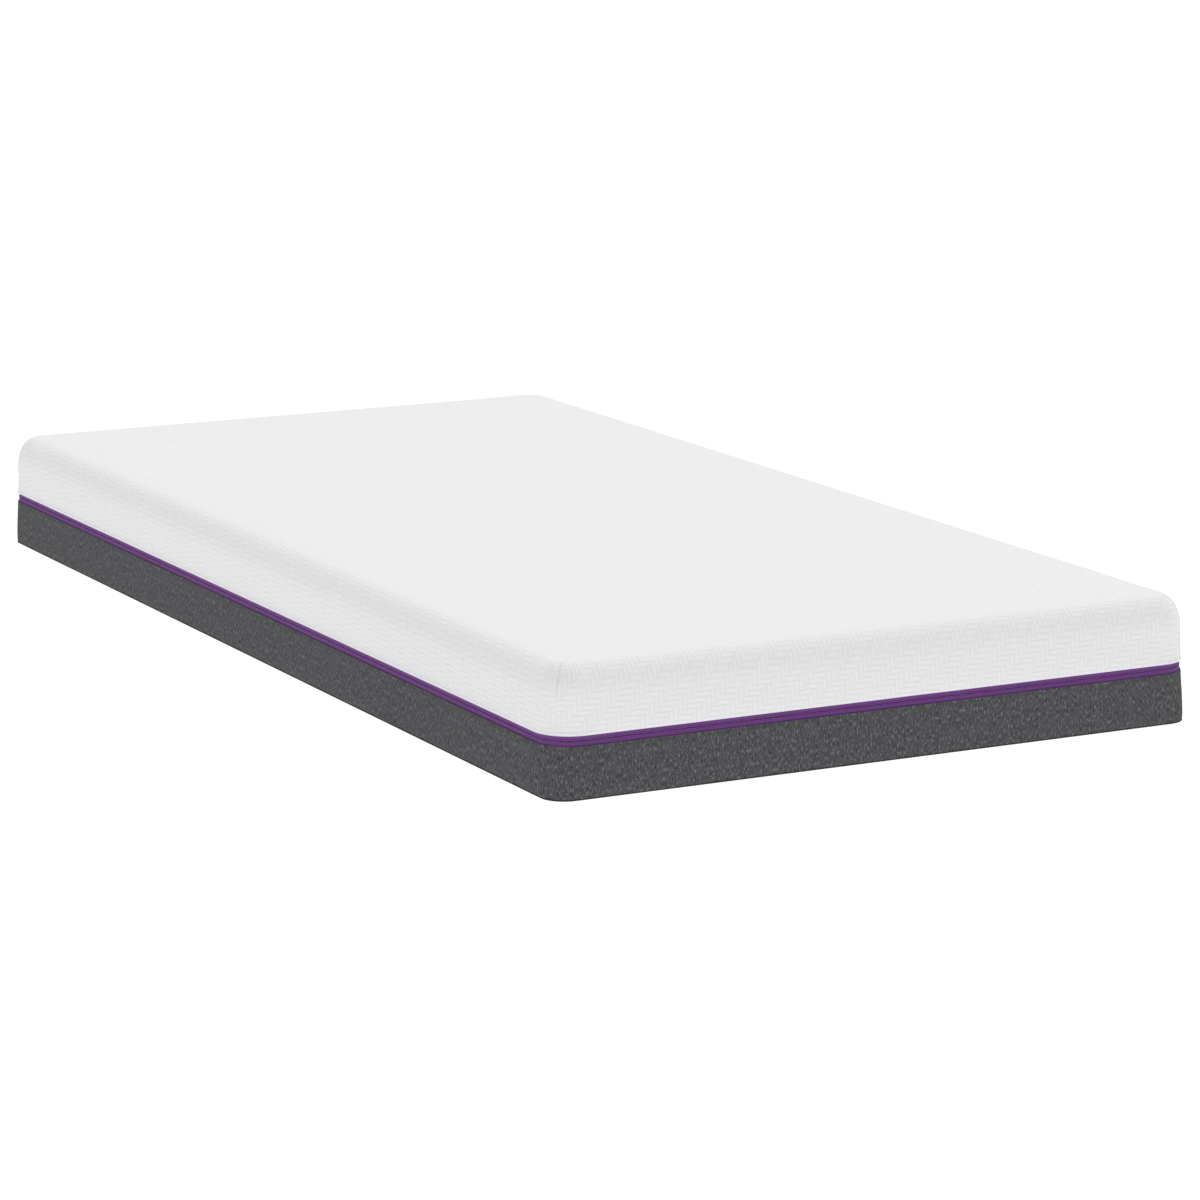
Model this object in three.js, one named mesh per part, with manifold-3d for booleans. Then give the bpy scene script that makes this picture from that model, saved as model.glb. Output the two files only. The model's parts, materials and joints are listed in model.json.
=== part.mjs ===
// A single memory foam mattress, 1000 x 2000 x 180 mm: a three-layer foam core inside a two-part zip-off cover.
// Millimetres, +Z up. The origin is at the centre of the underside: X runs across the bed, +Y points to the head end.
import * as THREE from "three";
import { mergeVertices } from "three/addons/utils/BufferGeometryUtils.js";
import Module from "manifold-3d";

const wasm = await Module();
wasm.setup();

// Driving dimensions of the whole mattress.
const WIDTH = 1000;
const LENGTH = 2000;
const HEIGHT = 180;
const CORNER_RADIUS = 50; // vertical corners, seen from above
const TOP_EDGE_RADIUS = 38; // soft rounding of the sleeping surface's edge
const BASE_EDGE_RADIUS = 6;
const FABRIC = 2.5; // knit ticking of both cover halves
const GAP = 0.3; // between pieces that touch

// The zip band that joins the two cover halves. Depths are measured inwards from the cover's outer face.
const BAND_TOP = 86.5;
const BAND_BOTTOM = 72.5;
const ZIP_LINE = (BAND_TOP + BAND_BOTTOM) / 2;
const TAPE_SPLIT = 0.8; // half of the slit between the two tapes, where the slider's neck runs
const TAPE_TUCK = 7; // tape sewn behind each hem
const TAPE = 0.8;
const TAPE_DEPTH = FABRIC + GAP;
const COIL = { thick: 1.6, tall: 3 };
const COIL_DEPTH = TAPE_DEPTH + TAPE + GAP;

// The slider is parked near one end of the head end's straight run, against the retainer box.
const SLIDER = { length: 22, plate: 1.8, height: 11, neck: 1, backPlate: 1, backHeight: 13, flange: 1.6 };
const SLIDER_X = 380;
const SLIDER_DEPTH = 0.5; // outer plate's outer face
const BACK_DEPTH = COIL_DEPTH + COIL.thick + GAP; // inner plate's near face
const CHAIN_GAP = 34; // the upper coil stops short here, so that the top cover lifts away
const BAIL = { span: 8, rise: 3.2, bar: 1.2, width: 1.6 };
const TAB = { length: 30, width: 8, thick: 1.2, arm: 1.4, reach: 6.5 };
const PIN_LENGTH = 3.7;
const STOP_LENGTH = 1.7;
const BOX = { length: 6, thick: 2.2, tall: 4 };
const PATCH = { length: 30, thick: 2, height: 13 };

// The foam core, with room left around it for the zip.
const CORE_INSET = 7.5;
const CORE_EDGE_RADIUS = 33;
const PANEL = 3; // underside panel
const MEMORY_FOAM = 50;
const TRANSITION_FOAM = 25;
const CORE_TOP = HEIGHT - FABRIC - GAP;
const SLOT = { width: 6, depth: 30, pitch: 50 };
const SLOT_ZONES = [
  { centre: -560, slots: 6 }, // calves
  { centre: 0, slots: 5 }, // hips
  { centre: 560, slots: 6 }, // shoulders
];

const SEAM = { width: 8, thick: 2.4, radial: 46.6, low: 94.5, high: 141 };
const LABEL = { width: 40, height: 55, thick: 0.8, y: -600 };

const material = (color, roughness, metalness = 0) =>
  new THREE.MeshStandardMaterial({ color, roughness, metalness });
const whiteKnit = material(0xeeeef0, 0.9);
const greyMelange = material(0x55565a, 0.95);
const purpleTape = material(0x6a3585, 0.7);
const purpleCoil = material(0x5a2b74, 0.45);
const purpleEnamel = material(0x5f2f7a, 0.35, 0.3);
const blackNonwoven = material(0x3c3d40, 0.95);
const memoryFoam = material(0xf6f1e2, 0.85);
const transitionFoam = material(0xb9c9dc, 0.85);
const supportFoam = material(0xe9eaec, 0.85);
const satinLabel = material(0xf4f4f4, 0.5);

// ---- shapes ----

// The mattress outline seen from above, drawn in by `inset` on every side.
function outline(inset) {
  const x = WIDTH / 2 - inset;
  const y = LENGTH / 2 - inset;
  const r = CORNER_RADIUS - inset;
  const shape = new THREE.Shape();
  shape.moveTo(x, r - y);
  shape.lineTo(x, y - r);
  shape.absarc(x - r, y - r, r, 0, Math.PI / 2, false);
  shape.lineTo(r - x, y);
  shape.absarc(r - x, y - r, r, Math.PI / 2, Math.PI, false);
  shape.lineTo(-x, r - y);
  shape.absarc(r - x, r - y, r, Math.PI, 1.5 * Math.PI, false);
  shape.lineTo(x - r, -y);
  shape.absarc(x - r, r - y, r, 1.5 * Math.PI, 2 * Math.PI, false);
  return shape;
}

// A straight-sided slab of the mattress outline between two heights.
function prism(inset, low, high) {
  const geometry = new THREE.ExtrudeGeometry(outline(inset), {
    depth: high - low,
    bevelEnabled: false,
    curveSegments: 10,
  });
  return geometry.translate(0, 0, low);
}

// The same slab with its top and bottom edges rounded.
function pillow(inset, low, high, edgeRadius) {
  const geometry = new THREE.ExtrudeGeometry(outline(inset + edgeRadius), {
    depth: high - low - 2 * edgeRadius,
    bevelEnabled: true,
    bevelSize: edgeRadius,
    bevelThickness: edgeRadius,
    bevelSegments: 6,
    curveSegments: 10,
  });
  return geometry.translate(0, 0, low + edgeRadius);
}

function box(xSize, ySize, zSize, x, y, z) {
  return new THREE.BoxGeometry(xSize, ySize, zSize).translate(x, y, z);
}

// ---- joining and cutting ----

function solid(geometry) {
  const bare = geometry.clone();
  bare.deleteAttribute("normal");
  bare.deleteAttribute("uv");
  const merged = mergeVertices(bare, 1e-4);
  return new wasm.Manifold(
    new wasm.Mesh({
      numProp: 3,
      vertProperties: merged.attributes.position.array,
      triVerts: new Uint32Array(merged.index.array),
    }),
  );
}

function geometryOf(made) {
  const mesh = made.getMesh();
  const geometry = new THREE.BufferGeometry();
  geometry.setAttribute("position", new THREE.BufferAttribute(mesh.vertProperties, 3));
  geometry.setIndex(new THREE.BufferAttribute(mesh.triVerts, 1));
  geometry.computeVertexNormals();
  return geometry;
}

const cut = (from, ...tools) =>
  tools.reduce((left, tool) => left.subtract(solid(tool)), from);
const join = (first, ...others) =>
  others.reduce((sum, other) => sum.add(solid(other)), solid(first));

// A loop of the mattress outline, `depth` to `depth + thick` in from the outer face.
const loop = (depth, thick, low, high) =>
  cut(solid(prism(depth, low, high)), prism(depth + thick, low - 1, high + 1));

function named(name, made, finish) {
  const mesh = new THREE.Mesh(made.isBufferGeometry ? made : geometryOf(made), finish);
  mesh.name = name;
  return mesh;
}

// ---- base cover: underside panel, border and the lower half of the zip ----

const OUTSIDE = 2 * LENGTH; // larger than anything that is kept by a height cut

function slice(made, low, high) {
  return made.intersect(solid(box(OUTSIDE, OUTSIDE, high - low, 0, 0, (high + low) / 2)));
}

function baseCover() {
  const group = new THREE.Group();
  const outer = solid(pillow(0, 0, HEIGHT, BASE_EDGE_RADIUS));
  const inner = pillow(FABRIC, 0, HEIGHT, BASE_EDGE_RADIUS - FABRIC);
  group.add(named("base_panel", slice(outer, 0, PANEL), blackNonwoven));
  group.add(named("base_border", slice(cut(outer, inner), PANEL + GAP, BAND_BOTTOM), greyMelange));
  group.add(
    named(
      "zip_lower_tape",
      loop(TAPE_DEPTH, TAPE, BAND_BOTTOM - TAPE_TUCK, ZIP_LINE - TAPE_SPLIT),
      purpleTape,
    ),
  );
  const coilTop = ZIP_LINE - TAPE_SPLIT;
  const boxAt = SLIDER_X + SLIDER.length / 2 + 1 + BOX.length / 2;
  const coilGap = box(BOX.length + 2 * GAP, 20, 20, boxAt, LENGTH / 2 - COIL_DEPTH, coilTop - COIL.tall);
  group.add(
    named(
      "zip_lower_coil",
      cut(loop(COIL_DEPTH, COIL.thick, coilTop - COIL.tall, coilTop), coilGap),
      purpleCoil,
    ),
  );
  group.add(
    named(
      "zip_retainer_box",
      box(
        BOX.length,
        BOX.thick,
        BOX.tall,
        boxAt,
        LENGTH / 2 - COIL_DEPTH - BOX.thick / 2,
        coilTop - BOX.tall / 2,
      ),
      purpleEnamel,
    ),
  );
  group.add(
    named(
      "zip_end_patch",
      box(
        PATCH.length,
        PATCH.thick,
        PATCH.height,
        SLIDER_X + SLIDER.length / 2 + 2 + PATCH.length / 2,
        LENGTH / 2 - SLIDER_DEPTH - PATCH.thick / 2,
        ZIP_LINE,
      ),
      purpleTape,
    ),
  );
  group.add(
    named(
      "care_label",
      box(
        LABEL.thick,
        LABEL.width,
        LABEL.height,
        WIDTH / 2 - FABRIC - GAP - LABEL.thick / 2,
        LABEL.y,
        BAND_BOTTOM - TAPE_TUCK - GAP - LABEL.height / 2,
      ),
      satinLabel,
    ),
  );
  return group;
}

// ---- zip slider and its pull tab ----

// Everything here is placed about the slider's own centre: x along the zip, y outwards, z up.
function sliderBody() {
  const outerFace = -SLIDER_DEPTH;
  const plate = new THREE.Shape();
  const half = SLIDER.length / 2;
  const tall = SLIDER.height / 2;
  // Wide at the mouth, which points along the closing direction, and narrow at the tail.
  plate.moveTo(-half, -tall);
  plate.quadraticCurveTo(0, -tall, half, -tall * 0.62);
  plate.lineTo(half, tall * 0.62);
  plate.quadraticCurveTo(0, tall, -half, tall);
  plate.closePath();
  const outerPlate = new THREE.ExtrudeGeometry(plate, {
    depth: SLIDER.plate,
    bevelEnabled: false,
    curveSegments: 6,
  });
  outerPlate.rotateX(Math.PI / 2).translate(0, outerFace, 0);
  const neckFrom = outerFace - SLIDER.plate + 0.2;
  const neckTo = -BACK_DEPTH - 0.2;
  const neck = box(
    SLIDER.length * 0.6,
    neckFrom - neckTo,
    SLIDER.neck,
    0,
    (neckFrom + neckTo) / 2,
    0,
  );
  const back = box(
    SLIDER.length,
    SLIDER.backPlate,
    SLIDER.backHeight,
    0,
    -BACK_DEPTH - SLIDER.backPlate / 2,
    0,
  );
  const flangeReach = COIL.thick + GAP + 0.2;
  const flanges = [-1, 1].map((side) =>
    box(
      SLIDER.length,
      flangeReach + SLIDER.backPlate,
      SLIDER.flange,
      0,
      -BACK_DEPTH - SLIDER.backPlate + (flangeReach + SLIDER.backPlate) / 2,
      (side * (SLIDER.backHeight - SLIDER.flange)) / 2,
    ),
  );
  const archOuter = box(BAIL.span, BAIL.rise + 0.4, BAIL.width, 0, outerFace + (BAIL.rise - 0.4) / 2, 0);
  const archOpening = box(
    BAIL.span - 2 * BAIL.bar,
    BAIL.rise - BAIL.bar,
    BAIL.width + 2,
    0,
    outerFace + (BAIL.rise - BAIL.bar) / 2,
    0,
  );
  const bail = cut(solid(archOuter), archOpening);
  return join(outerPlate, neck, back, ...flanges).add(bail);
}

const HINGE_Y = LENGTH / 2 - SLIDER_DEPTH + (BAIL.rise - BAIL.bar) / 2;

// The tab lies flat along the band, with its cross bar through the bail.
function pullTab() {
  const half = TAB.width / 2;
  const tip = -TAB.length;
  const shape = new THREE.Shape();
  shape.moveTo(TAB.thick / 2, -half);
  shape.lineTo(TAB.thick / 2, half);
  shape.lineTo(tip + half, half);
  shape.absarc(tip + half, 0, half, Math.PI / 2, 1.5 * Math.PI, false);
  shape.closePath();
  const eye = new THREE.Path();
  eye.moveTo(-TAB.thick / 2, TAB.arm - half);
  eye.lineTo(-TAB.reach, TAB.arm - half);
  eye.lineTo(-TAB.reach, half - TAB.arm);
  eye.lineTo(-TAB.thick / 2, half - TAB.arm);
  eye.closePath();
  shape.holes.push(eye);
  const geometry = new THREE.ExtrudeGeometry(shape, {
    depth: TAB.thick,
    bevelEnabled: false,
    curveSegments: 8,
  });
  return geometry.rotateX(Math.PI / 2).translate(0, TAB.thick / 2, 0);
}

function slider() {
  const group = new THREE.Group();
  group.position.set(SLIDER_X, LENGTH / 2, ZIP_LINE);
  group.add(named("zip_slider_body", sliderBody(), purpleEnamel));
  const tab = named("zip_pull_tab", pullTab(), purpleEnamel);
  tab.position.y = HINGE_Y - LENGTH / 2;
  group.add(tab);
  return group;
}

// ---- foam core: three glued layers ----

function foamCore() {
  const group = new THREE.Group();
  const memoryLow = CORE_TOP - MEMORY_FOAM;
  const transitionLow = memoryLow - GAP - TRANSITION_FOAM;
  const supportTop = transitionLow - GAP;
  const rounded = solid(pillow(CORE_INSET, 0, CORE_TOP, CORE_EDGE_RADIUS));
  group.add(named("memory_foam_layer", slice(rounded, memoryLow, CORE_TOP + 1), memoryFoam));
  group.add(
    named(
      "transition_foam_layer",
      prism(CORE_INSET, transitionLow, transitionLow + TRANSITION_FOAM),
      transitionFoam,
    ),
  );
  const slots = SLOT_ZONES.flatMap(({ centre, slots: count }) =>
    Array.from({ length: count }, (_, i) =>
      box(
        OUTSIDE,
        SLOT.width,
        2 * SLOT.depth,
        0,
        centre + (i - (count - 1) / 2) * SLOT.pitch,
        supportTop,
      ),
    ),
  );
  const block = solid(prism(CORE_INSET, PANEL + GAP, supportTop));
  group.add(named("support_foam_layer", cut(block, ...slots), supportFoam));
  return group;
}

// ---- top cover: one knit panel with darted corners, and the upper half of the zip ----

function topCover() {
  const group = new THREE.Group();
  const outer = solid(pillow(0, 0, HEIGHT, TOP_EDGE_RADIUS));
  const inner = pillow(FABRIC, 0, HEIGHT - FABRIC, TOP_EDGE_RADIUS - FABRIC);
  group.add(
    named("top_cover_panel", slice(cut(outer, inner), BAND_TOP, HEIGHT + 1), whiteKnit),
  );
  const tapeLow = ZIP_LINE + TAPE_SPLIT;
  group.add(
    named("zip_upper_tape", loop(TAPE_DEPTH, TAPE, tapeLow, BAND_TOP + TAPE_TUCK), purpleTape),
  );
  const coilGap = box(CHAIN_GAP, 20, 20, SLIDER_X, LENGTH / 2 - COIL_DEPTH, ZIP_LINE + 5);
  group.add(
    named(
      "zip_upper_coil",
      cut(loop(COIL_DEPTH, COIL.thick, tapeLow, tapeLow + COIL.tall), coilGap),
      purpleCoil,
    ),
  );
  const ends = [
    { name: "zip_insertion_pin", length: PIN_LENGTH, side: -1 },
    { name: "zip_end_stop", length: STOP_LENGTH, side: 1 },
  ];
  for (const { name, length, side } of ends)
    group.add(
      named(
        name,
        box(
          length,
          COIL.thick,
          COIL.tall,
          SLIDER_X + side * (CHAIN_GAP / 2 - GAP / 2 - length / 2),
          LENGTH / 2 - COIL_DEPTH - COIL.thick / 2,
          tapeLow + COIL.tall / 2,
        ),
        purpleEnamel,
      ),
    );
  const corners = [
    { name: "foot_left", x: -1, y: -1 },
    { name: "foot_right", x: 1, y: -1 },
    { name: "head_left", x: -1, y: 1 },
    { name: "head_right", x: 1, y: 1 },
  ];
  for (const { name, x, y } of corners) {
    // The dart's seam allowance, pressed flat inside the corner.
    const seam = named(
      `corner_seam_${name}`,
      new THREE.BoxGeometry(SEAM.thick, SEAM.width, SEAM.high - SEAM.low),
      whiteKnit,
    );
    const radial = (SEAM.radial - SEAM.thick / 2) / Math.SQRT2;
    seam.position.set(
      x * (WIDTH / 2 - CORNER_RADIUS + radial),
      y * (LENGTH / 2 - CORNER_RADIUS + radial),
      (SEAM.high + SEAM.low) / 2,
    );
    seam.rotation.z = Math.atan2(y, x);
    group.add(seam);
  }
  return group;
}

const mattress = new THREE.Group();
mattress.add(baseCover(), slider(), foamCore(), topCover());

export default mattress;
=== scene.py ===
import json
import math

import bmesh
import bpy
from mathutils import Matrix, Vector

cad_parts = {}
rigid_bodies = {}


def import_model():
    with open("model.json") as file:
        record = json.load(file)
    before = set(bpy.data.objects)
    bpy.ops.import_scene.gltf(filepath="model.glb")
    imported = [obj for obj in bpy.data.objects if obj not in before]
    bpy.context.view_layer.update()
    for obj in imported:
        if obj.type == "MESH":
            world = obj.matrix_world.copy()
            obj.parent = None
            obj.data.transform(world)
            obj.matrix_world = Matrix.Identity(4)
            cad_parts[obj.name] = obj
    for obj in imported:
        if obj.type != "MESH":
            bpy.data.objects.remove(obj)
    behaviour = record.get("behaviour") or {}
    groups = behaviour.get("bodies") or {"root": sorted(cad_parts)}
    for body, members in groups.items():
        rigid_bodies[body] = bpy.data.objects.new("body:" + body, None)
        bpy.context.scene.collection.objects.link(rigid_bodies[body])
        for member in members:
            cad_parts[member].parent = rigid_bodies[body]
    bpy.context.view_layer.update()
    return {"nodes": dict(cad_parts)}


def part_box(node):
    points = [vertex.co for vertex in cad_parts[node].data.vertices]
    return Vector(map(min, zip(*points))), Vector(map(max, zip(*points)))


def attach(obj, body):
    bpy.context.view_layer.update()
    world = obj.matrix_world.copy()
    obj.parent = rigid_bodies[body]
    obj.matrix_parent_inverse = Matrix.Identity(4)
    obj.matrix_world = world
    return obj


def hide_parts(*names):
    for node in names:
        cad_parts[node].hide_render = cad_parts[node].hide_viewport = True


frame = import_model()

MM = 0.001

# ---- driving dimensions ----

COVER_LOW, COVER_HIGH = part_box("top_cover_panel")
WIDTH = COVER_HIGH[0] - COVER_LOW[0]
LENGTH = COVER_HIGH[1] - COVER_LOW[1]
HEIGHT = COVER_HIGH[2]
BAND_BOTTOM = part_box("base_border")[1][2]
BAND_TOP = COVER_LOW[2]
ZIP_LINE = (BAND_BOTTOM + BAND_TOP) / 2
CORNER = 50 * MM  # vertical corners, seen from above
TOP_EDGE = 31 * MM  # how far in the rounded top edge begins
TOP_DROP = 46 * MM  # how far down it ends
FABRIC = 2.4 * MM
PITCH = 20 * MM  # grid of the fabric meshes
CORNER_STEPS = 12
CROWN_STEPS = 8
SWELL_ROOM = 0.8 * MM  # how far the cover starts inside its full size, before it swells
FOAM_ROOM = 0.3 * MM  # the same for the sides of the foam
TAPE_DEPTH = 2.9 * MM  # from the cover's face to the zip tapes' selvedges
TAPE_THICK = 0.6 * MM
SLIT = 0.45 * MM  # half of the gap that the slider's neck runs in
COIL_DEPTH = 3.9 * MM  # from the cover's face to the teeth
THREAD = 0.45 * MM
STITCH = 2.6 * MM
STITCH_PITCH = 3.4 * MM
HEM = 4 * MM  # from a hem's edge to its row of stitches
TINY = 0.01 * MM


# ---- modelling by hand: selecting, lofting, slicing ----

def object_mode():
    """Object mode, with nothing selected."""
    if bpy.context.object and bpy.context.object.mode != "OBJECT":
        bpy.ops.object.mode_set(mode="OBJECT")
    bpy.ops.object.select_all(action="DESELECT")


def select_only(obj):
    object_mode()
    bpy.context.view_layer.objects.active = obj
    obj.select_set(True)


def edit(obj):
    select_only(obj)
    bpy.ops.object.mode_set(mode="EDIT")


def pick(obj, kind, test):
    """In edit mode, selects only the vertices, edges or faces that pass the test."""
    bpy.ops.mesh.select_mode(type=kind)
    bpy.ops.mesh.select_all(action="DESELECT")
    mesh = bmesh.from_edit_mesh(obj.data)
    for item in {"VERT": mesh.verts, "EDGE": mesh.edges, "FACE": mesh.faces}[kind]:
        if test(item):
            item.select_set(True)
    mesh.select_flush_mode()
    bmesh.update_edit_mesh(obj.data)


def finish_modifiers(obj):
    select_only(obj)
    for modifier in list(obj.modifiers):
        bpy.ops.object.modifier_apply(modifier=modifier.name)


def smooth(obj, degrees):
    select_only(obj)
    bpy.ops.object.shade_smooth_by_angle(angle=math.radians(degrees))


def middle_and_size(node_name):
    low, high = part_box(node_name)
    middle = [(a + b) / 2 for a, b in zip(low, high)]
    size = [b - a for a, b in zip(low, high)]
    return middle, size


def block(name, centre, size):
    """A box that is the start of a piece, with its place in its mesh."""
    object_mode()
    bpy.ops.mesh.primitive_cube_add(size=1, location=centre)
    obj = bpy.context.object
    obj.name = obj.data.name = name
    obj.scale = size
    bpy.ops.object.transform_apply(location=True, rotation=True, scale=True)
    return obj


def round_edges(obj, radius, segments):
    bevel = obj.modifiers.new("round", "BEVEL")
    bevel.width = radius
    bevel.segments = segments
    bevel.limit_method = "ANGLE"
    finish_modifiers(obj)


def rounded_box(name, centre, size, radius, segments=2):
    obj = block(name, centre, size)
    round_edges(obj, radius, segments)
    return obj


def merge(name, objects):
    object_mode()
    for obj in objects:
        obj.select_set(True)
    bpy.context.view_layer.objects.active = objects[0]
    bpy.ops.object.join()
    objects[0].name = objects[0].data.name = name
    return objects[0]


def cut_away(obj, cutter):
    """Cuts one piece's shape out of another, and takes the cutter away."""
    cut = obj.modifiers.new("cut", "BOOLEAN")
    cut.object = cutter
    cut.operation = "DIFFERENCE"
    finish_modifiers(obj)
    bpy.data.objects.remove(cutter)


def loft(name, rings, close_low=False, close_high=False):
    """A wall round the mattress through rings of (inset, corner radius, height), left in edit mode."""
    object_mode()
    bpy.ops.mesh.primitive_plane_add(size=1)
    obj = bpy.context.object
    obj.name = obj.data.name = name
    bpy.ops.object.mode_set(mode="EDIT")
    bpy.ops.mesh.select_mode(type="VERT")
    bpy.ops.mesh.delete(type="VERT")
    for number, (inset, radius, height) in enumerate(rings):
        bpy.ops.mesh.primitive_plane_add(size=1, location=(0, 0, height))
        size = (WIDTH - 2 * inset, LENGTH - 2 * inset, 1)
        bpy.ops.transform.resize(value=size, center_override=(0, 0, height))
        bpy.ops.mesh.bevel(offset=radius, segments=CORNER_STEPS, affect="VERTICES", clamp_overlap=False)
        obj.vertex_groups.new(name=f"ring_{number}")
        bpy.ops.object.vertex_group_assign()
        bpy.ops.mesh.delete(type="ONLY_FACE")

    def choose(*numbers):
        bpy.ops.mesh.select_all(action="DESELECT")
        for number in numbers:
            bpy.ops.object.vertex_group_set_active(group=f"ring_{number}")
            bpy.ops.object.vertex_group_select()

    last = len(rings) - 1
    for number in range(last):
        choose(number, number + 1)
        bpy.ops.mesh.bridge_edge_loops()
    for number, closed in ((0, close_low), (last, close_high)):
        if closed:
            choose(number)
            bpy.ops.mesh.edge_face_add()
    obj.vertex_groups.clear()
    bpy.ops.mesh.select_all(action="SELECT")
    bpy.ops.mesh.normals_make_consistent(inside=False)
    return obj


def slice_along(axis, places):
    """In edit mode, cuts the whole mesh at each place along an axis."""
    normal = Vector((0, 0, 0))
    normal[axis] = 1
    for place in places:
        bpy.ops.mesh.select_all(action="SELECT")
        bpy.ops.mesh.bisect(plane_co=normal * place, plane_no=normal)


def steps(low, high, pitch):
    """Evenly spaced places strictly between two ends, about a pitch apart."""
    count = max(1, round((high - low) / pitch))
    return [low + (high - low) * i / count for i in range(1, count)]


def slice_grid(pitch):
    """In edit mode, cuts the whole mattress into a grid between its corners."""
    slice_along(0, steps(CORNER - WIDTH / 2, WIDTH / 2 - CORNER, pitch))
    slice_along(1, steps(CORNER - LENGTH / 2, LENGTH / 2 - CORNER, pitch))


def outward(obj):
    """An open wall has no inside, so one face far out along X says which way they all should be turned."""
    mesh = bmesh.from_edit_mesh(obj.data)
    wall = max(mesh.faces, key=lambda face: abs(face.calc_center_median().x) + face.normal.x ** 2)
    if wall.normal.x * wall.calc_center_median().x < 0:
        bpy.ops.mesh.select_all(action="SELECT")
        bpy.ops.mesh.flip_normals()


def thicken(obj, thickness):
    solidify = obj.modifiers.new("thickness", "SOLIDIFY")
    solidify.thickness = thickness
    solidify.offset = -1
    finish_modifiers(obj)


def refine(obj):
    subdivision = obj.modifiers.new("finer", "SUBSURF")
    subdivision.levels = subdivision.render_levels = 1
    subdivision.boundary_smooth = "PRESERVE_CORNERS"
    finish_modifiers(obj)


def ease(obj, strength, size, level=0.5):
    """Slow swells and hollows, as fabric and foam have. A higher level makes more of them hollows."""
    texture = bpy.data.textures.new(f"{obj.name}_ease", "CLOUDS")
    texture.noise_scale = size
    texture.noise_depth = 1
    displace = obj.modifiers.new("ease", "DISPLACE")
    displace.texture = texture
    displace.texture_coords = "LOCAL"
    displace.strength = strength
    displace.mid_level = level
    finish_modifiers(obj)
    bpy.data.textures.remove(texture)


# ---- coordinates that follow the surface ----

def along_side(point):
    """(axis that the side faces, distance along that side): the fabric's own coordinate on a wall."""
    x, y = point.x, point.y
    flat_x, flat_y = WIDTH / 2 - CORNER, LENGTH / 2 - CORNER
    past_x, past_y = abs(x) - flat_x, abs(y) - flat_y
    if past_x <= 0 or past_y <= 0:
        return (1, x) if past_y / LENGTH > past_x / WIDTH else (0, y)
    turn = math.atan2(past_y, past_x)
    if turn > math.pi / 4:
        return 1, math.copysign(flat_x + CORNER * (math.pi / 2 - turn), x)
    return 0, math.copysign(flat_y + CORNER * turn, y)


def drop_of(height):
    """Length of fabric from the edge of the flat top down to a height."""
    radius = (TOP_EDGE + TOP_DROP) / 2
    centre = HEIGHT - TOP_DROP
    if height <= centre:
        return radius * math.pi / 2 + centre - height
    return radius * math.acos(min(1, (height - centre) / TOP_DROP))


def lay_fabric(obj, with_top):
    """Writes the UV map: metres of fabric, flat on top and straight down each side."""
    layer = obj.data.uv_layers.new(name="fabric")
    nearly_level = 0.97
    for face in obj.data.polygons:
        flat = with_top and face.normal.z > nearly_level
        side = along_side(face.center)[0]
        for loop in face.loop_indices:
            point = obj.data.vertices[obj.data.loops[loop].vertex_index].co
            if flat:
                layer.data[loop].uv = (point.x, point.y)
                continue
            found, along = along_side(point)
            if found != side:
                to_seam = (WIDTH if side else LENGTH) / 2 - CORNER + CORNER * math.pi / 4
                along = math.copysign(to_seam, along)
            if not with_top:
                layer.data[loop].uv = (along, point.z)
                continue
            down = (LENGTH if side else WIDTH) / 2 - TOP_EDGE + drop_of(point.z)
            across = math.copysign(down, point[side])
            layer.data[loop].uv = (along, across) if side else (across, along)


def lay_scrap(obj, place):
    """The same for a small piece, where `place` turns each point into fabric coordinates."""
    layer = obj.data.uv_layers.new(name="fabric")
    for loop in obj.data.loops:
        layer.data[loop.index].uv = place(obj.data.vertices[loop.vertex_index].co)


# ---- cloth ----

def fill_out(obj, pinned, pressure, most):
    """The cover swells a little over the foam, held at its hem. No point moves further than `most`."""
    frames = 20
    rest = [vertex.co.copy() for vertex in obj.data.vertices]
    held = obj.vertex_groups.new(name="held")
    held.add([vertex.index for vertex in obj.data.vertices if pinned(vertex.co)], 1, "REPLACE")
    cloth = obj.modifiers.new("cloth", "CLOTH")
    settings = cloth.settings
    settings.quality = 6
    settings.mass = 0.35
    settings.tension_stiffness = settings.compression_stiffness = 25
    settings.shear_stiffness = 8
    settings.bending_stiffness = 2
    settings.use_pressure = True
    settings.uniform_pressure_force = pressure
    settings.vertex_group_mass = "held"
    settings.effector_weights.gravity = 0
    cloth.point_cache.frame_start = 1
    cloth.point_cache.frame_end = frames
    for number in range(1, frames + 1):
        bpy.context.scene.frame_set(number)
    evaluated = obj.evaluated_get(bpy.context.evaluated_depsgraph_get())
    moved = [vertex.co.copy() for vertex in evaluated.data.vertices]
    obj.modifiers.remove(cloth)
    obj.vertex_groups.clear()
    bpy.context.scene.frame_set(1)
    for vertex, before, after in zip(obj.data.vertices, rest, moved):
        step = after - before
        if step.length > TINY:
            vertex.co = before + step.normalized() * most * math.tanh(step.length / most)


# ---- rows of stitches and teeth ----

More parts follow.
